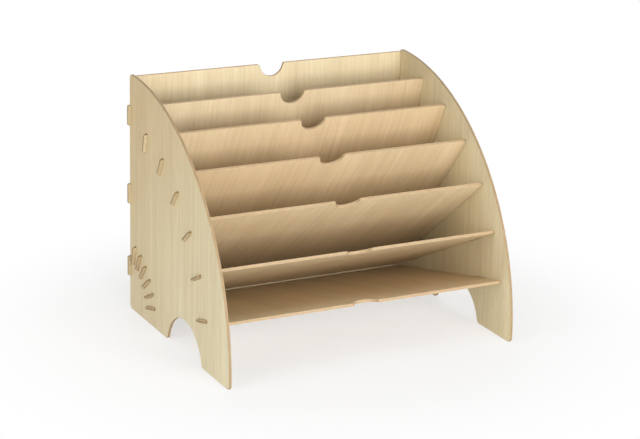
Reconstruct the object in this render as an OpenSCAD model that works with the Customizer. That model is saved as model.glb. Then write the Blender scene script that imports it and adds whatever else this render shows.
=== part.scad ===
// Document sorter: a fan of six boards held by tabs between two quarter-round side panels and a back panel.
// Origin on the floor, midway between the sides and midway between the rear edge and the foremost point.

/* [Overall] */
// Width over the outer faces of the two side panels
outer_w = 330; // [240:1:420]
// Thickness of every board
board_t = 3; // [2.4:0.1:5]
// Radius of the side panels' curved front edge
fan_r = 258; // [225:1:320]
// Height of the fan's centre line above the floor
fan_z = 4.75; // [4:0.25:20]

/* [Fan boards] */
// Slope of the steepest divider above the horizontal
top_angle = 77; // [70:0.5:79]
// Slope of the bottom shelf above the horizontal
shelf_angle = 13.5; // [10:0.5:20]
// Setback of the boards' front edges from the side panels' curve
front_setback = 15; // [6:0.5:30]
// Gap between neighbouring boards, the back panel too, at their inner edges
inner_gap = 0.8; // [0.5:0.1:6]
// Radius of the fan boards' front corners
board_corner_r = 3; // [0.5:0.25:5]

/* [Tabs and slots] */
// Length of each fan board's tab along the board
tab_l = 21; // [12:0.5:34]
// Board left between the inner edge and the inner tab
inner_tab_margin = 33.25; // [8:0.25:45]
// Board left between the outer tab and the front edge
outer_tab_margin = 34; // [10:0.5:70]
// Distance that each tab stands proud of the side panel
tab_proud = 3.2; // [1:0.1:8]
// Radius of the tabs' outer corners
tab_corner_r = 2; // [0.5:0.25:3]
// Clearance round a tab in its slot or notch
slot_gap = 0.2; // [0.1:0.05:0.5]

/* [Finger notches] */
// Radius of the half-round finger notch
notch_r = 14; // [10:0.5:22]
// Radius of the rounded lips of the finger notch
lip_r = 3; // [1:0.25:6]

/* [Back panel] */
// Drop of the back panel's top edge below the tips of the side panels
back_top_drop = 2.5; // [1:0.5:20]
// Radius of the back panel's top corners
back_corner_r = 1; // [0.5:0.25:5]
// Height of the back panel's lower edge above the floor
back_lift = 2; // [1:0.5:20]
// Height of each back tab
back_tab_h = 22.5; // [14:0.5:30]
// Height of the lowest back tab's middle above the floor
low_tab_z = 49; // [36:1:70]
// Height of the middle back tab's middle above the floor
middle_tab_z = 131; // [110:1:150]
// Distance of the highest back tab's middle below the back panel's top edge
high_tab_drop = 42.5; // [25:0.5:70]

/* [Feet] */
// Radius of the arch between the feet
arch_r = 45; // [40:0.5:56]
// Height of the arch's crown above the floor
arch_h = 36.25; // [20:0.25:39]
// Distance of the arch's middle from the rear edge
arch_from_rear = 147.5; // [125:0.5:160]
// Radius of the feet's corners beside the arch
arch_corner_r = 5; // [0.5:0.25:6]
// Radius of the side panels' outer corners
corner_r = 5; // [1:0.5:8]

/* [Hidden] */
$fn = 180;

side_color = [0.85, 0.78, 0.61];
divider_color = [0.83, 0.74, 0.57];
back_color = [0.80, 0.72, 0.55];

// The sides, the back and the fan share these planes
board_count = 6;
inside_w = outer_w - 2 * board_t;
rear_y = fan_r / 2;
front_r = fan_r - front_setback;
angle_step = (top_angle - shelf_angle) / (board_count - 1);
function board_angle(i) = top_angle - (i - 1) * angle_step;
inner_r = (board_t + inner_gap) / (2 * sin(angle_step / 2));
// The steepest divider's inner edge also clears the back panel
first_inner_r = max(inner_r, (board_t + inner_gap + board_t / 2 * sin(top_angle)) / cos(top_angle));
function board_inner_r(i) = i == 1 ? first_inner_r : inner_r;

// Tab places along a fan board, measured from the fan's centre line
inner_tab_r = inner_r + inner_tab_margin + tab_l / 2;
outer_tab_r = front_r - outer_tab_margin - tab_l / 2;
tab_places = [inner_tab_r, outer_tab_r];
tab_reach = board_t + tab_proud;

// A slot has round ends that clear the square corners of the tab
slot_w = board_t + 2 * slot_gap;
slot_end_r = slot_w / 2;
slot_run = tab_l + 2 * slot_gap - 2 * sqrt(pow(slot_end_r, 2) - pow(board_t / 2, 2));

// Back panel edges and the heights of its tabs
back_top = fan_z + fan_r - back_top_drop;
back_tab_heights = [low_tab_z, middle_tab_z, back_top - high_tab_drop];

// The arch is a circle whose middle lies below the floor when the crown is lower than its radius
arch_z = arch_h - arch_r;

// Room that a cutter has past the face that it opens
over = 1;
// Overreach of a rounding circle past the edges that it touches, so that each arc ends in a clean crossing
ease = 0.02;

// Side panel outlines lie in a plane whose first axis runs forward from the rear edge and second axis up.
// Waste outside a round corner: the corner of the sheet beyond a circle at c that touches both edges
module corner_waste(c, touch_a, corner, touch_b, r) {
    difference() {
        polygon([c, touch_a, corner, touch_b]);
        translate(c) circle(r + ease);
    }
}

// Round the upper rear corner, between the rear edge and the fan's curve
module top_corner_waste() {
    reach = fan_r - corner_r;
    rise = sqrt(pow(reach, 2) - pow(corner_r, 2));
    c = [corner_r, fan_z + rise];
    touch_curve = [corner_r * fan_r / reach, fan_z + rise * fan_r / reach];
    corner = [-over, fan_z + fan_r + over];
    corner_waste(c, [0, c.y], corner, touch_curve, corner_r);
}

// Round the lower rear corner, between the rear edge and the floor
module heel_waste() {
    corner_waste([corner_r, corner_r], [0, corner_r], [-over, -over], [corner_r, 0], corner_r);
}

// Round the front foot's toe, between the fan's curve and the floor
module toe_waste() {
    reach = fan_r - corner_r;
    drop = fan_z - corner_r;
    run = sqrt(pow(reach, 2) - pow(drop, 2));
    c = [run, corner_r];
    touch_curve = [run * fan_r / reach, fan_z - drop * fan_r / reach];
    corner_waste(c, [run, 0], [fan_r + over, -over], touch_curve, corner_r);
}

// Round a foot's corner beside the arch, on the side given by sign
module arch_corner_waste(sign) {
    reach = arch_r + arch_corner_r;
    rise = arch_corner_r - arch_z;
    run = sqrt(pow(reach, 2) - pow(rise, 2));
    c = [arch_from_rear + sign * run, arch_corner_r];
    touch_arch = [arch_from_rear + sign * run * arch_r / reach, arch_z + rise * arch_r / reach];
    corner = [touch_arch.x - sign * arch_corner_r, -over];
    corner_waste(c, [c.x, 0], corner, touch_arch, arch_corner_r);
}

// One slot with round ends, drawn along the first axis
module slot_outline() {
    square([slot_run, slot_w], center = true);
    for (end = [-1, 1]) {
        translate([end * slot_run / 2, 0]) circle(slot_end_r);
    }
}

// Two rings of slots, one pair for each fan board
module slot_rings() {
    for (i = [1 : board_count]) {
        for (r = tab_places) {
            translate([0, fan_z]) rotate(board_angle(i)) translate([r, 0]) slot_outline();
        }
    }
}

// Open notches in the rear edge for the back panel's tabs
module rear_notches() {
    for (z = back_tab_heights) {
        notch_h = back_tab_h + 2 * slot_gap;
        translate([-over, z - notch_h / 2]) square([board_t + slot_gap + over, notch_h]);
    }
}

// Quarter-round side panel with its feet, slots and notches
module side_outline() {
    difference() {
        intersection() {
            translate([0, fan_z]) circle(fan_r);
            square([fan_r + over, fan_z + fan_r + over]);
        }
        translate([arch_from_rear, arch_z]) circle(arch_r);
        arch_corner_waste(-1);
        arch_corner_waste(1);
        top_corner_waste();
        heel_waste();
        toe_waste();
        slot_rings();
        rear_notches();
    }
}

// A side panel whose outer or inner face lies at x, standing on the floor
module side_panel(x) {
    translate([x, rear_y, 0]) rotate([90, 0, -90]) linear_extrude(board_t) side_outline();
}

// Half-round finger notch with rounded lips, cut down from an edge along the first axis
module finger_notch() {
    reach = notch_r + lip_r;
    half_w = sqrt(pow(reach, 2) - pow(lip_r, 2));
    circle(notch_r);
    for (side = [-1, 1]) {
        difference() {
            polygon([[side * half_w, -lip_r], [side * half_w, over], [0, over], [0, 0]]);
            translate([side * half_w, -lip_r]) circle(lip_r + ease);
        }
    }
}

// Plate of width w along the second axis from low to high, with round corners at the high end
module plate_outline(w, low, high, r) {
    translate([-w / 2, low]) square([w, high - low - r]);
    translate([r - w / 2, low]) square([w - 2 * r, high - low]);
    for (side = [-1, 1]) {
        translate([side * (w / 2 - r), high - r]) circle(r);
    }
}

// Tabs of length l with round outer corners, one at each end of a board, at place p along it
module tab_pair(p, l) {
    root = inside_w / 2;
    for (side = [-1, 1]) {
        translate([0, p]) rotate(-90 * side) plate_outline(l, root, root + tab_reach, tab_corner_r);
    }
}

// A fan board from its inner edge at low: plate between the sides, two tabs at each end and a finger notch in front
module fan_outline(low) {
    difference() {
        plate_outline(inside_w, low, front_r, board_corner_r);
        translate([0, front_r]) finger_notch();
    }
    for (r = tab_places) {
        tab_pair(r, tab_l);
    }
}

// Fan board number i, counted from the back panel, turned to its slope about the fan's centre line
module fan_board(i) {
    translate([0, rear_y, fan_z]) {
        rotate([180 - board_angle(i), 0, 0]) {
            linear_extrude(board_t, center = true) fan_outline(board_inner_r(i));
        }
    }
}

// Back panel between the sides, with its tabs and finger notch
module back_outline() {
    difference() {
        plate_outline(inside_w, back_lift, back_top, back_corner_r);
        translate([0, back_top]) finger_notch();
    }
    for (z = back_tab_heights) {
        tab_pair(z, back_tab_h);
    }
}

module left_side() {
    color(side_color) side_panel(board_t - outer_w / 2);
}

module right_side() {
    color(side_color) side_panel(outer_w / 2);
}

module back_panel() {
    color(back_color) translate([0, rear_y, 0]) rotate([90, 0, 0]) linear_extrude(board_t) back_outline();
}

module divider_1() {
    color(divider_color) fan_board(1);
}

module divider_2() {
    color(divider_color) fan_board(2);
}

module divider_3() {
    color(divider_color) fan_board(3);
}

module divider_4() {
    color(divider_color) fan_board(4);
}

module divider_5() {
    color(divider_color) fan_board(5);
}

module bottom_shelf() {
    color(divider_color) fan_board(board_count);
}

left_side();
right_side();
back_panel();
divider_1();
divider_2();
divider_3();
divider_4();
divider_5();
bottom_shelf();
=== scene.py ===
"""Looks of a document sorter: nine veneered boards, tabbed together, on a pale studio floor.

Every board is cut from its outline by one Geometry Nodes tree, which eases its arrises and marks the
scorched rim that the cutter leaves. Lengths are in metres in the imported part's own frame.
"""

import logging
import math
from collections.abc import Mapping
from dataclasses import dataclass, field
from enum import Enum
from typing import Any, ClassVar

import bmesh
import bpy
from mathutils import Matrix, Vector


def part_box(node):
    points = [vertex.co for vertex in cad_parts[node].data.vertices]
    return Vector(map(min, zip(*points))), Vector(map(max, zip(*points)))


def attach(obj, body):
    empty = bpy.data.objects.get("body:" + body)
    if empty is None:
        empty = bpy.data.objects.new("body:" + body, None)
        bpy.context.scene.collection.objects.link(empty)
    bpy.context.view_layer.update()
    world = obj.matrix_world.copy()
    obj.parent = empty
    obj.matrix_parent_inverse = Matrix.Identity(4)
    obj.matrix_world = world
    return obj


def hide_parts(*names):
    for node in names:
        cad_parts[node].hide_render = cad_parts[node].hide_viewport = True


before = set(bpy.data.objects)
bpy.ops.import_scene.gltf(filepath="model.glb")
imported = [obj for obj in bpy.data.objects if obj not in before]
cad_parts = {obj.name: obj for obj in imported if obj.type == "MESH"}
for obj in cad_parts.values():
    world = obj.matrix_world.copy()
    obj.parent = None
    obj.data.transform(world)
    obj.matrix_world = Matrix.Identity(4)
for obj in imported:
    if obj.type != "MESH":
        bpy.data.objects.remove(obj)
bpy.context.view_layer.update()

LOG = logging.getLogger("document_sorter")
MM = 0.001
BODY = "root"

# How finely outlines are drawn, and when two places count as one
CHORD_ERROR = 0.004 * MM
SAME_PLACE = 0.0005 * MM
# Points of a board's two halves that lie this close are joined
WELD_DISTANCE = 4 * SAME_PLACE
# Largest distance between a dressed board's box and its solid's box
BOX_TOLERANCE = 0.3 * MM
# A reach past the end of every board, for the boards without tabs
NO_TABS = 1.0
# Edges that turn further than this stay crisp
CREASE_ANGLE = math.radians(30)

# Attributes that the boards carry for their finishes
INWARD = "inward"
CUT = "cut"
SCORCH = "scorch"
SHEET = "sheet"
# Where the tabs stand proud, which the finishes darken with painted shade
TAB = "tab"

Colour = tuple[float, float, float]
Place = tuple[float, float]
WHITE = (1.0, 1.0, 1.0, 1.0)


class Hand(Enum):
    """The side of the sorter that a panel stands on."""

    LEFT = -1
    RIGHT = 1


class Stock(Enum):
    """The sheet that a board is cut from, by the name of its material slot."""

    SIDES = "side_veneer"
    FAN = "board_veneer"
    BACK = "back_veneer"


class Signal:
    """A node's output value that can be used in Python expressions."""

    def __init__(self, graph: "Graph", socket: bpy.types.NodeSocket) -> None:
        """Wrap an output socket of a node in the graph."""
        self.graph = graph
        self.socket = socket

    def _math(self, operation: str, first: Any, second: Any) -> "Signal":
        """Add a Math node.

        Args:
            operation: The node's operation.
            first: A signal or a number.
            second: A signal or a number.

        Returns:
            The node's result.
        """
        return self.graph.signal("ShaderNodeMath", {"operation": operation}, {0: first, 1: second})

    def __add__(self, other: Any) -> "Signal":
        """Return self + other."""
        return self._math("ADD", self, other)

    def __radd__(self, other: Any) -> "Signal":
        """Return other + self."""
        return self._math("ADD", other, self)

    def __sub__(self, other: Any) -> "Signal":
        """Return self - other."""
        return self._math("SUBTRACT", self, other)

    def __rsub__(self, other: Any) -> "Signal":
        """Return other - self."""
        return self._math("SUBTRACT", other, self)

    def __mul__(self, other: Any) -> "Signal":
        """Return self * other."""
        return self._math("MULTIPLY", self, other)

    def __rmul__(self, other: Any) -> "Signal":
        """Return other * self."""
        return self._math("MULTIPLY", other, self)

    def __truediv__(self, other: Any) -> "Signal":
        """Return self / other."""
        return self._math("DIVIDE", self, other)

    def __rtruediv__(self, other: Any) -> "Signal":
        """Return other / self."""
        return self._math("DIVIDE", other, self)

    def __pow__(self, other: Any) -> "Signal":
        """Return self to the power of other."""
        return self._math("POWER", self, other)

    def __rpow__(self, other: Any) -> "Signal":
        """Return other to the power of self."""
        return self._math("POWER", other, self)

    def __abs__(self) -> "Signal":
        """Return the value without its sign."""
        return self._math("ABSOLUTE", self, 0.0)

    def between(self, low: Any, high: Any) -> "Signal":
        """Make a smooth step.

        Args:
            low: Value at which the step is 0.
            high: Value at which it is 1.

        Returns:
            The step.
        """
        settings = {"interpolation_type": "SMOOTHSTEP"}
        sockets = {"Value": self, "From Min": low, "From Max": high}
        return self.graph.signal("ShaderNodeMapRange", settings, sockets)


class Graph:
    """Adds nodes to a shader tree or a geometry tree."""

    def __init__(self, tree: bpy.types.NodeTree) -> None:
        """Take the tree and clear it."""
        self.tree = tree
        tree.nodes.clear()

    @staticmethod
    def find(sockets: Any, key: str | int) -> bpy.types.NodeSocket:
        """Find a socket that is in use.

        Args:
            sockets: A node's inputs or outputs.
            key: The socket's name or its number.

        Returns:
            The first enabled socket of that name, or the socket of that number.
        """
        if isinstance(key, int):
            return sockets[key]
        return next(socket for socket in sockets if socket.name == key and socket.enabled)

    def node(
        self,
        kind: str,
        settings: Mapping[str, Any] | None = None,
        sockets: Mapping[str | int, Any] | None = None,
    ) -> bpy.types.Node:
        """Add a node.

        Args:
            kind: The node's type.
            settings: The node's own properties, which are set first.
            sockets: A number, colour, vector or material to set, or a signal or list of signals to link,
                for each input named.

        Returns:
            The new node.
        """
        made = self.tree.nodes.new(kind)
        for name, value in (settings or {}).items():
            setattr(made, name, value)
        for key, value in (sockets or {}).items():
            target = self.find(made.inputs, key)
            links = value if isinstance(value, list) else [value]
            for link in links:
                if isinstance(link, Signal):
                    self.tree.links.new(link.socket, target)
                else:
                    target.default_value = link
        return made

    def signal(
        self,
        kind: str,
        settings: Mapping[str, Any] | None = None,
        sockets: Mapping[str | int, Any] | None = None,
        output: str | int = 0,
    ) -> Signal:
        """Add a node and take one of its outputs.

        Args:
            kind: The node's type.
            settings: The node's own properties.
            sockets: Values and links of its inputs.
            output: Name or number of the output.

        Returns:
            The output as a signal.
        """
        return self.output(self.node(kind, settings, sockets), output)

    def output(self, node: bpy.types.Node, key: str | int) -> Signal:
        """Return one output of a node as a signal."""
        return Signal(self, self.find(node.outputs, key))

    def vector(self, operation: str, first: Any, second: Any) -> Signal:
        """Return the result of a Vector Math node."""
        return self.signal("ShaderNodeVectorMath", {"operation": operation}, {0: first, 1: second})

    def mix(self, factor: Any, first: Any, second: Any, blend: str = "MIX") -> Signal:
        """Mix two colours.

        Args:
            factor: Share of the second colour.
            first: A colour or a signal.
            second: A colour or a signal.
            blend: How the second colour goes over the first.

        Returns:
            The mixed colour.
        """
        settings = {"data_type": "RGBA", "blend_type": blend}
        colours = [value if isinstance(value, Signal) else (*value, 1.0) for value in (first, second)]
        sockets = {"Factor": factor, "A": colours[0], "B": colours[1]}
        return self.signal("ShaderNodeMix", settings, sockets, "Result")


class Finish:
    """What the finishes share."""

    # Noise scale through the sheet, which gives the two faces different figures
    THROUGH: ClassVar[float] = 2400.0
    # How strongly the finer octaves of the noise show
    OCTAVE_SHARE: ClassVar[float] = 0.55
    # Middle of a noise, a tone and a relief
    MIDDLE: ClassVar[float] = 0.5

    @staticmethod
    def start(name: str) -> tuple[bpy.types.Material, Graph]:
        """Make an empty material.

        Args:
            name: The material's name.

        Returns:
            The material and its graph.
        """
        material = bpy.data.materials.new(name)
        material.use_nodes = True
        return material, Graph(material.node_tree)

    @staticmethod
    def carried(graph: Graph, name: str, output: str) -> Signal:
        """Return an attribute that the board carries."""
        return graph.signal("ShaderNodeAttribute", {"attribute_name": name}, None, output)

    def streaks(
        self, graph: Graph, sheet: Signal, scale: tuple[float, float, float], detail: float
    ) -> Signal:
        """Draw noise that is stretched on the sheet.

        Args:
            graph: The material's graph.
            sheet: Place on the sheet.
            scale: Noise cells in a metre across the grain, along it and through the sheet.
            detail: Octaves of the noise.

        Returns:
            The noise, with its middle at zero.
        """
        stretched = graph.vector("MULTIPLY", sheet, scale)
        sockets = {"Vector": stretched, "Scale": 1.0, "Detail": detail, "Roughness": self.OCTAVE_SHARE}
        return graph.signal("ShaderNodeTexNoise", {"noise_dimensions": "3D"}, sockets) - self.MIDDLE

    @staticmethod
    def seal(graph: Graph, colour: Signal, roughness: Signal, height: Signal, depth: float) -> None:
        """End a material in a satin surface.

        Args:
            graph: The material's graph.
            colour: Colour over the surface.
            roughness: Roughness over the surface.
            height: Relief of the surface, from 0 to about 1.
            depth: Depth of the relief.
        """
        sockets = {"Strength": 1.0, "Distance": depth, "Height": height}
        normal = graph.signal("ShaderNodeBump", None, sockets)
        sockets = {"Base Color": colour, "Roughness": roughness, "Normal": normal}
        surface = graph.signal("ShaderNodeBsdfPrincipled", None, sockets)
        graph.node("ShaderNodeOutputMaterial", None, {"Surface": surface})


@dataclass(frozen=True)
class Veneer(Finish):
    """Pale straight-grained face veneer under a satin seal."""

    name: str
    pale: Colour
    deep: Colour
    scorched: Colour = (0.30, 0.165, 0.07)
    # Noise cells in a metre across the grain and along it
    fibre: tuple[float, float] = (1100.0, 22.0)
    stripe: tuple[float, float] = (300.0, 6.0)
    band: tuple[float, float] = (48.0, 1.8)
    pore: tuple[float, float] = (1500.0, 55.0)
    wander: tuple[float, float] = (9.0, 5.0)
    # Share of each in the tone
    fibre_share: float = 0.9
    stripe_share: float = 1.2
    band_share: float = 1.0
    pore_share: float = 0.16
    # Noise levels between which a pore opens
    pore_levels: tuple[float, float] = (0.09, 0.2)
    # Sideways drift of the grain lines
    drift: float = 5 * MM
    # Tints of the heartwood and the sapwood, which take turns along the sheet's diagonal. Strong tints, as
    # on the side panels, also paint a sheen, the floor's reflection, into the tone
    heart: Colour = (0.96, 0.93, 0.88)
    sap_and_sheen: Colour = (1.03, 1.06, 1.08)
    turn_length: float = 0.53
    turn_sway: float = 0.12
    # Scorch of the rim: how steeply it fades, its level, how far the stripes vary it, and its share
    scorch_fade: float = 1.6
    scorch_level: float = 0.9
    scorch_streaks: float = 1.5
    scorch_share: float = 0.3
    # Tint of the proud tabs: painted shade that dulls their faces
    tab_shade: Colour = (0.90, 0.91, 0.91)
    # Roughness, and what fibres take from it and pores and scorch add to it
    roughness: float = 0.47
    fibre_gloss: float = 0.12
    pore_dulling: float = 0.1
    scorch_dulling: float = 0.15
    # Depth of the relief, and the shares of fibres, stripes and pores in it
    relief: float = 0.05 * MM
    fibre_height: float = 0.6
    stripe_height: float = 0.3
    pore_depth: float = 0.5

    def material(self) -> bpy.types.Material:
        """Build the veneer's material.

        Returns:
            The material.
        """
        material, graph = self.start(self.name)
        place = self.carried(graph, SHEET, "Vector")
        sway = self.streaks(graph, place, (*self.wander, self.THROUGH), detail=1.0) * self.drift
        aside = graph.signal("ShaderNodeCombineXYZ", None, {"X": sway})
        sheet = graph.vector("ADD", place, aside)
        fibre = self.streaks(graph, sheet, (*self.fibre, self.THROUGH), detail=3.0)
        stripe = self.streaks(graph, sheet, (*self.stripe, self.THROUGH), detail=2.0)
        band = self.streaks(graph, sheet, (*self.band, self.THROUGH), detail=2.0)
        speck = self.streaks(graph, sheet, (*self.pore, self.THROUGH), detail=1.0)
        pore = speck.between(*self.pore_levels)

        tone = self.MIDDLE + fibre * self.fibre_share + stripe * self.stripe_share + band * self.band_share
        wood = graph.mix(tone, self.deep, self.pale)
        # Heartwood and sapwood tints, with a painted sheen where they are strong
        tint = graph.mix(self._sapwood_and_sheen(graph, place), self.heart, self.sap_and_sheen)
        tinted = graph.mix(1.0, wood, tint, "MULTIPLY")
        # Painted shade on the proud tabs' faces
        tab_shade = graph.mix(self.carried(graph, TAB, "Fac"), tinted, self.tab_shade, "MULTIPLY")
        pored = graph.mix(pore * self.pore_share, tab_shade, self.scorched)
        rim = self.carried(graph, SCORCH, "Fac") ** self.scorch_fade
        burn = rim * (self.scorch_level + stripe * self.scorch_streaks) * self.scorch_share
        colour = graph.mix(burn, pored, self.scorched)
        dulling = pore * self.pore_dulling
        roughness = self.roughness - fibre * self.fibre_gloss + dulling + burn * self.scorch_dulling
        ridges = self.MIDDLE + fibre * self.fibre_height + stripe * self.stripe_height
        height = ridges - pore * self.pore_depth
        self.seal(graph, colour, roughness, height, self.relief)
        return material

    def _sapwood_and_sheen(self, graph: Graph, place: Signal) -> Signal:
        """Draw the slow change from heartwood to sapwood, whose strong tints also paint a sheen.

        Args:
            graph: The material's graph.
            place: Place on the sheet.

        Returns:
            0 in the heartwood and 1 in the sapwood.
        """
        split = graph.node("ShaderNodeSeparateXYZ", None, {"Vector": place})
        sway = self.streaks(graph, place, (*self.wander, self.THROUGH), detail=2.0) * self.turn_sway
        diagonal = graph.output(split, "X") - graph.output(split, "Y") + sway
        angle = diagonal * (math.pi / self.turn_length)
        return self.MIDDLE + graph.signal("ShaderNodeMath", {"operation": "SINE"}, {0: angle}) * self.MIDDLE


@dataclass(frozen=True)
class CutEdge(Finish):
    """Edge of the sheet as the cutter leaves it: browned core between two thin veneers."""

    name: str
    half_thickness: float
    pale: Colour
    deep: Colour
    veneer: Colour
    # Darker core of the tabs' cut edges, partly scorch and partly painted shade of the gaps round them, and
    # their paler veneer
    tab_core_and_shade: Colour = (0.25, 0.16, 0.062)
    tab_veneer: Colour = (0.60, 0.50, 0.31)
    tab_burn_and_shade: float = 0.85
    # Depth of the veneer on each face, half the width of its soft border, and how well it shows
    veneer_depth: float = 0.5 * MM
    veneer_border: float = 0.06 * MM
    veneer_share: float = 0.7
    # Noise cells in a metre in the sheet's plane and through it
    mark: tuple[float, float] = (1900.0, 160.0)
    cloud: tuple[float, float] = (120.0, 300.0)
    # Shares of cutter marks, clouds and fibres in the core's tone
    mark_share: float = 0.9
    cloud_share: float = 1.4
    fibre_share: float = 0.7
    # Roughness, and how far the clouds vary it
    roughness: float = 0.62
    cloud_dulling: float = 0.2
    # Depth of the relief, and the shares of cutter marks and fibres in it
    relief: float = 0.04 * MM
    mark_height: float = 0.8
    fibre_height: float = 0.4

    def material(self) -> bpy.types.Material:
        """Build the edge's material.

        Returns:
            The material.
        """
        material, graph = self.start(self.name)
        sheet = self.carried(graph, SHEET, "Vector")
        split = graph.node("ShaderNodeSeparateXYZ", None, {"Vector": sheet})
        depth = abs(graph.output(split, "Z"))
        mark = self.streaks(graph, sheet, (self.mark[0], *self.mark), detail=2.0)
        cloud = self.streaks(graph, sheet, (self.cloud[0], *self.cloud), detail=3.0)
        fibre = self.streaks(graph, sheet, (self.mark[0], self.mark[0], self.mark[0]), detail=1.0)

        core_half = self.half_thickness - self.veneer_depth
        skin = depth.between(core_half - self.veneer_border, core_half + self.veneer_border)
        tone = self.MIDDLE + mark * self.mark_share + cloud * self.cloud_share + fibre * self.fibre_share
        core = graph.mix(tone, self.deep, self.pale)
        tab = self.carried(graph, TAB, "Fac")
        # Scorch and painted shade darken the tabs' cut edges
        core = graph.mix(tab * self.tab_burn_and_shade, core, self.tab_core_and_shade)
        veneer = graph.mix(tab, self.veneer, self.tab_veneer)
        colour = graph.mix(skin * (self.veneer_share + cloud), core, veneer)
        roughness = self.roughness + cloud * self.cloud_dulling
        height = self.MIDDLE + mark * self.mark_height + fibre * self.fibre_height
        self.seal(graph, colour, roughness, height, self.relief)
        return material


class Outline:
    """A closed cutting line in a board's own plane, walked with the board on its left."""

    def __init__(self) -> None:
        """Start with no points."""
        self.points: list[Vector] = []

    def line(self, *places: Place) -> "Outline":
        """Go straight to each place in turn.

        Args:
            places: Places in the board's plane.

        Returns:
            This outline.
        """
        for place in places:
            point = Vector(place)
            if not self.points or (point - self.points[-1]).length > SAME_PLACE:
                self.points.append(point)
        return self

    def arc(self, centre: Place, radius: float, start: float, end: float) -> "Outline":
        """Go straight to the start of an arc and then round it.

        Args:
            centre: The arc's centre.
            radius: The arc's radius.
            start: Angle at which it starts, in degrees from the first axis.
            end: Angle at which it ends; a smaller one than start goes clockwise.

        Returns:
            This outline.
        """
        step = math.degrees(2 * math.acos(1 - CHORD_ERROR / radius))
        count = math.ceil(abs(end - start) / step)
        for index in range(count + 1):
            angle = math.radians(start + (end - start) * index / count)
            self.line((centre[0] + radius * math.cos(angle), centre[1] + radius * math.sin(angle)))
        return self

    def mirrored(self) -> "Outline":
        """Go back along the mirror image of the way so far, across the second axis."""
        return self.line(*[(-point.x, point.y) for point in reversed(self.points)])

    def inward(self) -> list[Vector]:
        """Find how each point moves when the line is set in from the edge by one unit.

        Returns:
            A mitred step into the board for each point.
        """
        steps = []
        count = len(self.points)
        for index, point in enumerate(self.points):
            before = (point - self.points[index - 1]).normalized()
            after = (self.points[(index + 1) % count] - point).normalized()
            first, second = Vector((-before.y, before.x)), Vector((-after.y, after.x))
            steps.append((first + second) / (1 + first.dot(second)))
        return steps


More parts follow.
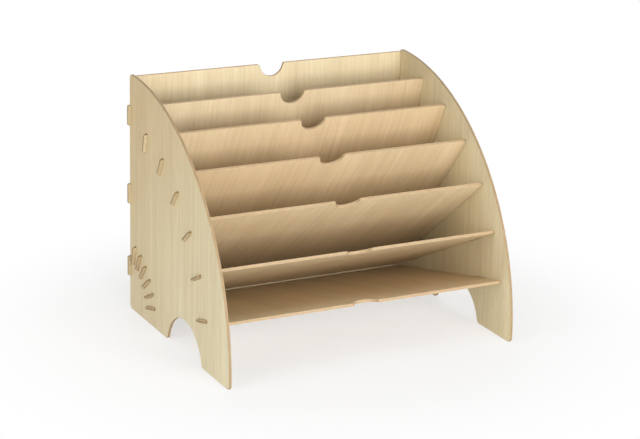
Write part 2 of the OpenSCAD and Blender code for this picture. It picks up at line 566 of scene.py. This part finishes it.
@dataclass
class BoardCutter:
    """Cuts boards from outlines with one Geometry Nodes tree."""

    thickness: float
    faces: dict[Stock, bpy.types.Material]
    edges: dict[Stock, bpy.types.Material]
    arris: float = 0.25 * MM
    scorch_width: float = 0.7 * MM
    tree: bpy.types.NodeTree = field(init=False)

    # The tree's inputs and their types
    INPUTS: ClassVar[dict[str, str]] = {
        "Thickness": "NodeSocketFloat",
        "Arris": "NodeSocketFloat",
        "Scorch Width": "NodeSocketFloat",
        "Tab Root": "NodeSocketFloat",
        "Grain Shift": "NodeSocketVector",
        "Face Finish": "NodeSocketMaterial",
        "Edge Finish": "NodeSocketMaterial",
    }

    def __post_init__(self) -> None:
        """Build the tree once for all boards."""
        self.tree = bpy.data.node_groups.new("cut_board", "GeometryNodeTree")
        interface = self.tree.interface
        interface.new_socket("Geometry", in_out="INPUT", socket_type="NodeSocketGeometry")
        for name, kind in self.INPUTS.items():
            interface.new_socket(name, in_out="INPUT", socket_type=kind)
        interface.new_socket("Geometry", in_out="OUTPUT", socket_type="NodeSocketGeometry")
        self._grow()

    def _grow(self) -> None:
        """Lay out the nodes: half a shell, closed by its face, then mirrored and finished."""
        graph = Graph(self.tree)
        given = graph.node("NodeGroupInput")
        half = graph.output(given, "Thickness") / 2
        arris = graph.output(given, "Arris")
        inward = self._named(graph, INWARD, "FLOAT_VECTOR")

        drawing = graph.output(given, "Geometry")
        wall, wall_top, _ = self._rim(graph, drawing, None, self._up(graph, half - arris))
        slope = graph.vector("ADD", self._along(graph, inward, arris), self._up(graph, arris))
        eased, eased_top, _ = self._rim(graph, wall, wall_top, slope)
        eased = self._store(graph, eased, "BOOLEAN", "FACE", CUT, True)
        set_in = self._along(graph, inward, graph.output(given, "Scorch Width"))
        rim, rim_top, rim_side = self._rim(graph, eased, eased_top, set_in)
        rim = self._store(graph, rim, "BOOLEAN", "FACE", CUT, False, rim_side)
        rim = self._store(graph, rim, "FLOAT", "POINT", SCORCH, 1.0)
        rim = self._store(graph, rim, "FLOAT", "POINT", SCORCH, 0.0, rim_top)

        loops = graph.signal("GeometryNodeMeshToCurve", None, {"Mesh": rim, "Selection": rim_top})
        flat = graph.signal("GeometryNodeFillCurve", {"mode": "TRIANGLES"}, {"Curve": loops})
        sockets = {"Geometry": flat, "Offset": self._up(graph, half)}
        face = graph.signal("GeometryNodeSetPosition", None, sockets)
        shell = graph.signal("GeometryNodeJoinGeometry", None, {"Geometry": [face, rim]})

        pair = graph.signal("GeometryNodePoints", None, {"Count": 2})
        flip = 1 - 2 * graph.signal("GeometryNodeInputIndex")
        scale = graph.signal("ShaderNodeCombineXYZ", None, {"X": 1.0, "Y": 1.0, "Z": flip})
        sockets = {"Points": pair, "Instance": shell, "Scale": scale}
        halves = graph.signal("GeometryNodeInstanceOnPoints", None, sockets)
        whole = graph.signal("GeometryNodeRealizeInstances", None, {"Geometry": halves})
        sockets = {"Geometry": whole, "Distance": WELD_DISTANCE}
        whole = graph.signal("GeometryNodeMergeByDistance", None, sockets)
        place = graph.signal("GeometryNodeInputPosition")
        spot = graph.vector("ADD", place, graph.output(given, "Grain Shift"))
        whole = self._store(graph, whole, "FLOAT_VECTOR", "POINT", SHEET, spot)
        # The tab mask, which the finishes use for painted shade on the proud tabs
        reach = abs(graph.signal("ShaderNodeSeparateXYZ", None, {"Vector": place}, "X"))
        root = graph.output(given, "Tab Root")
        tab = reach.between(root, root + graph.output(given, "Thickness"))
        whole = self._store(graph, whole, "FLOAT", "POINT", TAB, tab)
        sockets = {"Geometry": whole, "Material": graph.output(given, "Face Finish")}
        whole = graph.signal("GeometryNodeSetMaterial", None, sockets)
        cut = self._named(graph, CUT, "BOOLEAN")
        sockets = {"Geometry": whole, "Selection": cut, "Material": graph.output(given, "Edge Finish")}
        whole = graph.signal("GeometryNodeSetMaterial", None, sockets)
        graph.node("NodeGroupOutput", None, {"Geometry": whole})

    @staticmethod
    def _named(graph: Graph, name: str, kind: str) -> Signal:
        """Return an attribute of the mesh."""
        settings = {"data_type": kind}
        return graph.signal("GeometryNodeInputNamedAttribute", settings, {"Name": name}, "Attribute")

    @staticmethod
    def _up(graph: Graph, height: Signal) -> Signal:
        """Return a step of that height square to the sheet."""
        return graph.signal("ShaderNodeCombineXYZ", None, {"Z": height})

    @staticmethod
    def _along(graph: Graph, direction: Signal, length: Signal) -> Signal:
        """Return a direction times a length."""
        sockets = {0: direction, "Scale": length}
        return graph.signal("ShaderNodeVectorMath", {"operation": "SCALE"}, sockets)

    @staticmethod
    def _rim(
        graph: Graph, mesh: Signal, edges: Signal | None, step: Signal
    ) -> tuple[Signal, Signal, Signal]:
        """Grow a band of faces from edges, and move its far edges by a step.

        Args:
            graph: The tree's graph.
            mesh: The mesh so far.
            edges: The edges to grow from, or None for all.
            step: How each far point moves.

        Returns:
            The mesh, its far edges and the new faces.
        """
        sockets = {"Mesh": mesh, "Offset Scale": 0.0}
        if edges:
            sockets["Selection"] = edges
        grown = graph.node("GeometryNodeExtrudeMesh", {"mode": "EDGES"}, sockets)
        far = graph.output(grown, "Top")
        sockets = {"Geometry": graph.output(grown, "Mesh"), "Selection": far, "Offset": step}
        moved = graph.signal("GeometryNodeSetPosition", None, sockets)
        return moved, far, graph.output(grown, "Side")

    @staticmethod
    def _store(
        graph: Graph, mesh: Signal, kind: str, domain: str, name: str, value: Any,
        where: Signal | None = None,
    ) -> Signal:
        """Store an attribute on the mesh.

        Args:
            graph: The tree's graph.
            mesh: The mesh so far.
            kind: The attribute's data type.
            domain: What carries it, points or faces.
            name: The attribute's name.
            value: A value or a signal.
            where: Which points or faces get it, or None for all.

        Returns:
            The mesh with the attribute.
        """
        sockets = {"Geometry": mesh, "Name": name, "Value": value}
        if where:
            sockets["Selection"] = where
        settings = {"data_type": kind, "domain": domain}
        return graph.signal("GeometryNodeStoreNamedAttribute", settings, sockets)

    def cut(
        self, name: str, outlines: list[Outline], stock: Stock, shift: Vector, tab_root: float
    ) -> bpy.types.Object:
        """Cut a board that lies in the first two axes, its middle plane at zero.

        Args:
            name: The piece's name.
            outlines: The outer line and the lines of the holes.
            stock: The sheet that it is cut from.
            shift: The board's place on the sheet, which sets its figure and where its painted sheen falls.
            tab_root: Distance from the board's middle at which its tabs start.

        Returns:
            The piece, as a plain mesh.
        """
        wire = self._wire(name, outlines)
        drawing = bpy.data.objects.new(name + "_drawing", wire)
        bpy.context.scene.collection.objects.link(drawing)
        modifier = drawing.modifiers.new("cut", "NODES")
        modifier.node_group = self.tree
        sizes = (self.thickness, self.arris, self.scorch_width, tab_root)
        given = dict(zip(self.INPUTS, (*sizes, shift, self.faces[stock], self.edges[stock])))
        for item in self.tree.interface.items_tree:
            if item.in_out == "INPUT" and item.name in given:
                modifier[item.identifier] = given[item.name]
        graph = bpy.context.evaluated_depsgraph_get()
        mesh = bpy.data.meshes.new_from_object(drawing.evaluated_get(graph), depsgraph=graph)
        drawing.modifiers.remove(modifier)
        bpy.data.objects.remove(drawing)
        mesh.name = name
        self._true_up(mesh)
        piece = bpy.data.objects.new(name, mesh)
        bpy.context.scene.collection.objects.link(piece)
        return piece

    @staticmethod
    def _wire(name: str, outlines: list[Outline]) -> bpy.types.Mesh:
        """Draw outlines as loops of edges.

        Args:
            name: The board's name.
            outlines: The lines to draw.

        Returns:
            A mesh of edges, with each point's step into the board as an attribute.
        """
        points: list[Vector] = []
        steps: list[Vector] = []
        edges: list[tuple[int, int]] = []
        for outline in outlines:
            first, count = len(points), len(outline.points)
            points += [point.to_3d() for point in outline.points]
            steps += [step.to_3d() for step in outline.inward()]
            edges += [(first + index, first + (index + 1) % count) for index in range(count)]
        wire = bpy.data.meshes.new(name + "_outline")
        wire.from_pydata(points, edges, [])
        inward = wire.attributes.new(INWARD, "FLOAT_VECTOR", "POINT")
        inward.data.foreach_set("vector", [value for step in steps for value in step])
        return wire

    @staticmethod
    def _true_up(mesh: bpy.types.Mesh) -> None:
        """Turn all faces outwards, smooth the round edges and drop what only the tree needed.

        Args:
            mesh: The board's mesh, which is changed in place.
        """
        for name in (INWARD, CUT):
            mesh.attributes.remove(mesh.attributes[name])
        shape = bmesh.new()
        shape.from_mesh(mesh)
        bmesh.ops.recalc_face_normals(shape, faces=shape.faces)
        shape.to_mesh(mesh)
        shape.free()
        mesh.shade_smooth()
        mesh.set_sharp_from_angle(angle=CREASE_ANGLE)


@dataclass
class FingerNotch:
    """Half-round notch with rounded lips in the middle of a board's edge."""

    radius: float = 14 * MM
    lip_radius: float = 3 * MM

    def draw(self, outline: Outline, edge: float) -> None:
        """Draw the right half of the notch, coming from the right.

        Args:
            outline: The board's outline so far.
            edge: Height of the edge that is notched.
        """
        reach = self.radius + self.lip_radius
        half_width = math.sqrt(reach**2 - self.lip_radius**2)
        dip = math.degrees(math.asin(self.lip_radius / reach))
        outline.arc((half_width, edge - self.lip_radius), self.lip_radius, 90, 180 - dip)
        outline.arc((0, edge), self.radius, -dip, -90)


@dataclass
class EndTab:
    """Tab in the end of a board, which goes through a side panel and stands proud of it."""

    length: float
    proud: float = 3.2 * MM
    corner_radius: float = 2 * MM

    def draw(self, outline: Outline, place: float, root: float, panel: float) -> None:
        """Draw a tab on the right, going up.

        Args:
            outline: The board's outline so far.
            place: Height of the tab's middle.
            root: Distance of the board's end from its middle.
            panel: Thickness of the side panel.
        """
        low, high = place - self.length / 2, place + self.length / 2
        inset = root + panel + self.proud - self.corner_radius
        outline.line((root, low))
        outline.arc((inset, low + self.corner_radius), self.corner_radius, -90, 0)
        outline.arc((inset, high - self.corner_radius), self.corner_radius, 0, 90)
        outline.line((root, high))


@dataclass(kw_only=True)
class Board:
    """A board of the sorter, which is cut from a sheet and stands for one solid."""

    node: str
    stock: Stock
    shift: Vector
    thickness: float
    rear: float

    def outlines(self) -> list[Outline]:
        """Draw the board's cutting lines in its own plane."""
        raise NotImplementedError

    def placement(self) -> Matrix:
        """Return the matrix that takes the board's plane to its place."""
        raise NotImplementedError

    def tab_root(self) -> float:
        """Return the distance from the board's middle at which its tabs start."""
        return NO_TABS

    @staticmethod
    def stand(across: Vector, along: Vector, origin: Vector) -> Matrix:
        """Place a plane.

        Args:
            across: Direction of the plane's first axis.
            along: Direction of its second axis, which the grain follows.
            origin: Where its origin goes.

        Returns:
            The matrix that takes the plane there.
        """
        turn = Matrix((across, along, across.cross(along))).transposed()
        return Matrix.Translation(origin) @ turn.to_4x4()

    def build(self, cutter: BoardCutter) -> bpy.types.Object:
        """Cut the board and put it in its place.

        Args:
            cutter: The cutter with the sheets.

        Returns:
            The piece.
        """
        piece = cutter.cut(self.node + "_board", self.outlines(), self.stock, self.shift, self.tab_root())
        piece.data.transform(self.placement())
        piece.data.update()
        return piece

    def dress(self, piece: bpy.types.Object) -> None:
        """Let the piece stand for its solid, and report it.

        Args:
            piece: The board's piece.
        """
        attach(piece, BODY)
        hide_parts(self.node)
        corners = [Vector(corner) for corner in piece.bound_box]
        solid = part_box(self.node)
        ends = [Vector(map(pick, *corners)) for pick in (min, max)]
        error = max(abs(value) for end, corner in zip(ends, solid) for value in end - corner)
        level = logging.INFO if error < BOX_TOLERANCE else logging.WARNING
        report = "%s: %d faces, %.3f mm from its solid's box"
        LOG.log(level, report, piece.name, len(piece.data.polygons), error / MM)


@dataclass(kw_only=True)
class SidePanel(Board):
    """Quarter-round side panel on two arched feet, with slots for the fan and notches for the back."""

    middle: float
    slopes: list[float]
    tab_places: list[float]
    tab_length: float
    back_tab_heights: list[float]
    back_tab_height: float
    fan_height: float
    curve_radius: float
    corner_radius: float = 5 * MM
    arch_radius: float = 45 * MM
    arch_crown: float = 36.25 * MM
    arch_from_rear: float = 147.5 * MM
    arch_corner_radius: float = 5 * MM
    slot_gap: float = 0.2 * MM

    def outlines(self) -> list[Outline]:
        """Draw the panel and its slots, with the first axis forward from the rear edge.

        Returns:
            The outer line and one line for each slot.
        """
        outer = Outline()
        self._draw_feet(outer)
        self._draw_curve(outer)
        self._draw_rear(outer)
        slots = [self._slot(slope, place) for slope in self.slopes for place in self.tab_places]
        return [outer, *slots]

    def _draw_feet(self, outer: Outline) -> None:
        """Draw the heel, the floor line and the arch between the feet.

        Args:
            outer: The panel's outline, still empty.
        """
        corner, foot = self.corner_radius, self.arch_corner_radius
        arch_z = self.arch_crown - self.arch_radius
        reach = self.arch_radius + foot
        run = math.sqrt(reach**2 - (foot - arch_z) ** 2)
        dip = math.degrees(math.asin((foot - arch_z) / reach))
        outer.arc((corner, corner), corner, 180, 270)
        outer.arc((self.arch_from_rear - run, foot), foot, 270, 360 - dip)
        outer.arc((self.arch_from_rear, arch_z), self.arch_radius, 180 - dip, dip)
        outer.arc((self.arch_from_rear + run, foot), foot, 180 + dip, 270)

    def _draw_curve(self, outer: Outline) -> None:
        """Draw the toe, the curved front edge and the round tip.

        Args:
            outer: The panel's outline so far.
        """
        corner = self.corner_radius
        reach = self.curve_radius - corner
        drop = self.fan_height - corner
        toe = math.degrees(math.asin(drop / reach))
        tip = math.degrees(math.asin(corner / reach))
        outer.arc((math.sqrt(reach**2 - drop**2), corner), corner, 270, 360 - toe)
        outer.arc((0, self.fan_height), self.curve_radius, -toe, 90 - tip)
        tip_z = self.fan_height + math.sqrt(reach**2 - corner**2)
        outer.arc((corner, tip_z), corner, 90 - tip, 180)

    def _draw_rear(self, outer: Outline) -> None:
        """Draw the rear edge downwards, with an open notch for each back tab.

        Args:
            outer: The panel's outline so far.
        """
        depth = self.thickness + self.slot_gap
        half = self.back_tab_height / 2 + self.slot_gap
        for height in reversed(self.back_tab_heights):
            high, low = height + half, height - half
            outer.line((0, high), (depth, high), (depth, low), (0, low))

    def _slot(self, slope: float, place: float) -> Outline:
        """Draw a slot with round ends.

        Args:
            slope: The board's slope in degrees.
            place: Distance of the slot's middle from the fan's centre line.

        Returns:
            The slot's line.
        """
        radius = self.thickness / 2 + self.slot_gap
        clear = math.sqrt(radius**2 - (self.thickness / 2) ** 2)
        half_run = self.tab_length / 2 + self.slot_gap - clear
        turn = math.radians(slope)
        ends = [place + half_run, place - half_run]
        outer, inner = [(end * math.cos(turn), self.fan_height + end * math.sin(turn)) for end in ends]
        slot = Outline().arc(outer, radius, slope + 90, slope - 90)
        return slot.arc(inner, radius, slope - 90, slope - 270)

    def placement(self) -> Matrix:
        """Return the place of the panel, forward and up from its rear heel."""
        return self.stand(Vector((0, -1, 0)), Vector((0, 0, 1)), Vector((self.middle, self.rear, 0)))


@dataclass(kw_only=True)
class CrossBoard(Board):
    """A board between the side panels: tabs in both ends and a finger notch in its free edge."""

    half_width: float
    low_edge: float
    high_edge: float
    tab_places: list[float]
    tab: EndTab
    corner_radius: float = 3 * MM
    notch: FingerNotch = field(default_factory=FingerNotch)

    def outlines(self) -> list[Outline]:
        """Draw the board, with the first axis to the right and the second towards the free edge.

        Returns:
            The outer line.
        """
        outer = Outline().line((self.half_width, self.low_edge))
        for place in self.tab_places:
            self.tab.draw(outer, place, self.half_width, self.thickness)
        corner = (self.half_width - self.corner_radius, self.high_edge - self.corner_radius)
        outer.arc(corner, self.corner_radius, 0, 90)
        self.notch.draw(outer, self.high_edge)
        return [outer.mirrored()]

    def tab_root(self) -> float:
        """Return the distance from the middle to the side panels."""
        return self.half_width


@dataclass(kw_only=True)
class FanBoard(CrossBoard):
    """A sloping board of the fan."""

    slope: float
    fan_height: float

    def placement(self) -> Matrix:
        """Find the place of the board, up its slope from the fan's centre line.

        Returns:
            The matrix that takes the board's plane there.
        """
        turn = math.radians(self.slope)
        along = Vector((0, -math.cos(turn), math.sin(turn)))
        return self.stand(Vector((1, 0, 0)), along, Vector((0, self.rear, self.fan_height)))


@dataclass(kw_only=True)
class BackPanel(CrossBoard):
    """The upright back, whose rear face is level with the side panels' rear edges."""

    def placement(self) -> Matrix:
        """Return the place of the panel, upright from the floor."""
        origin = Vector((0, self.rear - self.thickness / 2, 0))
        return self.stand(Vector((1, 0, 0)), Vector((0, 0, 1)), origin)


@dataclass
class Sorter:
    """The whole sorter, with the sizes that its boards share."""

    fan_height: float = 4.75 * MM
    top_slope: float = 77.0
    shelf_slope: float = 13.5
    front_setback: float = 15 * MM
    inner_gap: float = 0.8 * MM
    fan_tab: EndTab = field(default_factory=lambda: EndTab(21 * MM))
    inner_tab_margin: float = 33.25 * MM
    outer_tab_margin: float = 34 * MM
    back_tab: EndTab = field(default_factory=lambda: EndTab(22.5 * MM))
    low_tab_height: float = 49 * MM
    middle_tab_height: float = 131 * MM
    high_tab_drop: float = 42.5 * MM
    back_lift: float = 2 * MM
    back_top_drop: float = 2.5 * MM
    back_corner_radius: float = 1 * MM
    # Fan boards from the steepest to the flattest
    fan_nodes: tuple[str, ...] = (
        "divider_1", "divider_2", "divider_3", "divider_4", "divider_5", "bottom_shelf",
    )
    # Steps across the sheet and along it from one board's figure to the next, which also set where each
    # board's painted sheen falls
    sheet_step: Place = (0.42, 0.184)

    def boards(self) -> list[Board]:
        """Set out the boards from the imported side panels.

        Returns:
            The boards in the order in which they are put together.
        """
        low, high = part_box("left_side")
        thickness, rear = high.x - low.x, high.y
        half_width = -high.x
        curve = high.y - low.y
        common = {"thickness": thickness, "rear": rear}

        front = curve - self.front_setback
        step = (self.top_slope - self.shelf_slope) / (len(self.fan_nodes) - 1)
        slopes = [self.top_slope - step * index for index in range(len(self.fan_nodes))]
        inner = (thickness + self.inner_gap) / (2 * math.sin(math.radians(step / 2)))
        # The steepest divider's inner edge also clears the back panel
        steep = math.radians(self.top_slope)
        clear = (thickness + self.inner_gap + thickness / 2 * math.sin(steep)) / math.cos(steep)
        inner_edges = [max(inner, clear)] + [inner] * (len(slopes) - 1)
        half_tab = self.fan_tab.length / 2
        places = [inner + self.inner_tab_margin + half_tab, front - self.outer_tab_margin - half_tab]

        back_top = self.fan_height + curve - self.back_top_drop
        heights = [self.low_tab_height, self.middle_tab_height, back_top - self.high_tab_drop]

        sides = [
            SidePanel(
                node=node, stock=Stock.SIDES, shift=self._shift(index), **common, slopes=slopes,
                middle=hand.value * (half_width + thickness / 2), tab_places=places,
                tab_length=self.fan_tab.length, back_tab_heights=heights,
                back_tab_height=self.back_tab.length, fan_height=self.fan_height, curve_radius=curve,
            )
            for index, (hand, node) in enumerate(((Hand.LEFT, "left_side"), (Hand.RIGHT, "right_side")))
        ]
        back = BackPanel(
            node="back_panel", stock=Stock.BACK, shift=self._shift(len(sides)), **common,
            half_width=half_width, low_edge=self.back_lift, high_edge=back_top, tab_places=heights,
            tab=self.back_tab, corner_radius=self.back_corner_radius,
        )
        fan = [
            FanBoard(
                node=node, stock=Stock.FAN, shift=self._shift(len(sides) + 1 + index), **common,
                half_width=half_width, low_edge=edge, high_edge=front, tab_places=places, tab=self.fan_tab,
                slope=slope, fan_height=self.fan_height,
            )
            for index, (node, slope, edge) in enumerate(zip(self.fan_nodes, slopes, inner_edges))
        ]
        return [*sides, back, *fan]

    def _shift(self, index: int) -> Vector:
        """Return a board's place on the sheet."""
        return Vector((index * self.sheet_step[0], index * self.sheet_step[1], 0))


@dataclass(frozen=True)
class Softbox:
    """A broad soft lamp that is turned to the sorter."""

    name: str
    place: tuple[float, float, float]
    size: Place
    power: float
    aim: tuple[float, float, float] = (0.0, 0.0, 0.13)

    def build(self) -> None:
        """Hang the lamp."""
        light = bpy.data.lights.new(self.name, "AREA")
        light.shape = "RECTANGLE"
        light.size, light.size_y = self.size
        light.energy = self.power
        lamp = bpy.data.objects.new(self.name, light)
        lamp.location = self.place
        away = Vector(self.place) - Vector(self.aim)
        lamp.rotation_euler = away.to_track_quat("Z", "Y").to_euler()
        bpy.context.scene.collection.objects.link(lamp)


@dataclass
class Studio:
    """Pale floor, soft light and the camera."""

    frame_width: int = 640
    camera_place: tuple[float, float, float] = (-0.944085, -1.800180, 0.775245)
    camera_yaw: float = -27.6473
    camera_pitch: float = 17.8940
    camera_roll: float = 1.5564
    # Focal length in pixels of the frame's width
    focal_pixels: float = 2015.8345
    sensor: float = 36.0
    floor_half: float = 8.0
    floor_colour: Colour = (0.90, 0.90, 0.90)
    # Share of plain white that the eye sees over the floor's own shade, close to the sorter
    floor_white: float = 0.58
    # Distances from the sorter's middle between which the floor fades to white
    fade: tuple[float, float] = (0.15, 0.42)
    ambient: float = 0.24
    lamps: tuple[Softbox, ...] = (
        Softbox("front", place=(0.0, -1.9, 0.55), size=(1.8, 1.0), power=44.5),
        Softbox("overhead", place=(-0.2, -0.3, 2.2), size=(2.0, 2.0), power=11.0),
        Softbox("left", place=(-1.8, -0.4, 0.7), size=(1.2, 1.2), power=15.0),
        Softbox("rear", place=(0.9, 1.7, 0.9), size=(1.6, 1.2), power=8.5),
    )

    def build(self) -> None:
        """Set up the floor, the light and the camera."""
        self._floor()
        self._world()
        for lamp in self.lamps:
            lamp.build()
        self._camera()
        bpy.context.scene.view_settings.view_transform = "Standard"
        LOG.info("studio: floor, world, %d lamps and camera", len(self.lamps))

    @staticmethod
    def _seen(graph: Graph) -> Signal:
        """Tell the rays that show the background from those that only light the scene.

        Args:
            graph: Graph of the floor's or the world's material.

        Returns:
            1 for a ray of the camera, of a gloss or through glass, and 0 for other rays.
        """
        path = graph.node("ShaderNodeLightPath")
        names = ("Is Camera Ray", "Is Glossy Ray", "Is Transmission Ray")
        first, second, third = [graph.output(path, name) for name in names]
        either = graph.signal("ShaderNodeMath", {"operation": "MAXIMUM"}, {0: first, 1: second})
        return graph.signal("ShaderNodeMath", {"operation": "MAXIMUM"}, {0: either, 1: third})

    def _floor(self) -> None:
        """Lay a pale floor that is open from below."""
        half = self.floor_half
        mesh = bpy.data.meshes.new("floor")
        corners = [(-half, -half, 0), (half, -half, 0), (half, half, 0), (-half, half, 0)]
        mesh.from_pydata(corners, [], [(0, 1, 2, 3)])
        floor = bpy.data.objects.new("floor", mesh)
        bpy.context.scene.collection.objects.link(floor)
        material, graph = Finish.start("pale_floor")
        matt = graph.signal("ShaderNodeBsdfDiffuse", None, {"Color": (*self.floor_colour, 1.0)})
        place = graph.signal("ShaderNodeTexCoord", None, None, "Object")
        length = graph.signal("ShaderNodeVectorMath", {"operation": "LENGTH"}, {0: place}, "Value")
        white = graph.signal("ShaderNodeEmission", None, {"Color": WHITE, "Strength": 1.0})
        share = self._seen(graph) * (self.floor_white + length.between(*self.fade) * (1 - self.floor_white))
        top = graph.signal("ShaderNodeMixShader", None, {0: share, 1: matt, 2: white})
        below = graph.signal("ShaderNodeNewGeometry", None, None, "Backfacing")
        clear = graph.signal("ShaderNodeBsdfTransparent")
        surface = graph.signal("ShaderNodeMixShader", None, {0: below, 1: top, 2: clear})
        graph.node("ShaderNodeOutputMaterial", None, {"Surface": surface})
        mesh.materials.append(material)

    def _world(self) -> None:
        """Light the scene evenly from all round, with a white background."""
        world = bpy.data.worlds.new("studio")
        world.use_nodes = True
        graph = Graph(world.node_tree)
        strength = self.ambient + self._seen(graph) * (1 - self.ambient)
        sky = graph.signal("ShaderNodeBackground", None, {"Color": WHITE, "Strength": strength})
        graph.node("ShaderNodeOutputWorld", None, {"Surface": sky})
        bpy.context.scene.world = world

    def _camera(self) -> None:
        """Stand the camera at the photograph's view."""
        data = bpy.data.cameras.new("camera")
        data.sensor_width = self.sensor
        data.lens = self.focal_pixels / self.frame_width * self.sensor
        camera = bpy.data.objects.new("camera", data)
        turn = Matrix.Rotation(math.radians(self.camera_yaw), 4, "Z")
        tilt = Matrix.Rotation(math.radians(90 - self.camera_pitch), 4, "X")
        roll = Matrix.Rotation(math.radians(self.camera_roll), 4, "Z")
        camera.matrix_world = Matrix.Translation(self.camera_place) @ turn @ tilt @ roll
        bpy.context.scene.collection.objects.link(camera)
        bpy.context.scene.camera = camera


def main() -> None:
    """Build the sorter and its studio."""
    logging.basicConfig(level=logging.INFO, format="%(name)s %(levelname)s: %(message)s")
    veneers = {
        # The side panels' strong heartwood and sapwood tints paint the floor's sheen onto them
        Stock.SIDES: Veneer(
            "side_veneer_face", pale=(0.69, 0.583, 0.366), deep=(0.553, 0.442, 0.255),
            heart=(0.88, 0.81, 0.70), sap_and_sheen=(1.08, 1.15, 1.24),
        ),
        Stock.FAN: Veneer(
            "fan_veneer_face", pale=(0.73, 0.585, 0.385), deep=(0.575, 0.437, 0.265),
            fibre_share=0.75, stripe_share=1.0,
        ),
        Stock.BACK: Veneer("back_veneer_face", pale=(0.70, 0.58, 0.37), deep=(0.56, 0.44, 0.26)),
    }
    boards = Sorter().boards()
    thickness = boards[0].thickness
    cuts = {
        Stock.SIDES: CutEdge(
            "side_cut_edge", thickness / 2, pale=(0.36, 0.253, 0.134), deep=(0.276, 0.18, 0.083),
            veneer=(0.393, 0.297, 0.172),
        ),
        Stock.FAN: CutEdge(
            "fan_cut_edge", thickness / 2, pale=(0.47, 0.336, 0.192), deep=(0.361, 0.238, 0.119),
            veneer=(0.514, 0.394, 0.246),
        ),
        Stock.BACK: CutEdge(
            "back_cut_edge", thickness / 2, pale=(0.41, 0.275, 0.137), deep=(0.314, 0.195, 0.085),
            veneer=(0.447, 0.323, 0.176),
        ),
    }
    faces = {stock: veneer.material() for stock, veneer in veneers.items()}
    edges = {stock: cut.material() for stock, cut in cuts.items()}
    cutter = BoardCutter(thickness, faces, edges)
    for board in boards:
        board.dress(board.build(cutter))
    Studio().build()


if __name__ == "__main__":
    main()
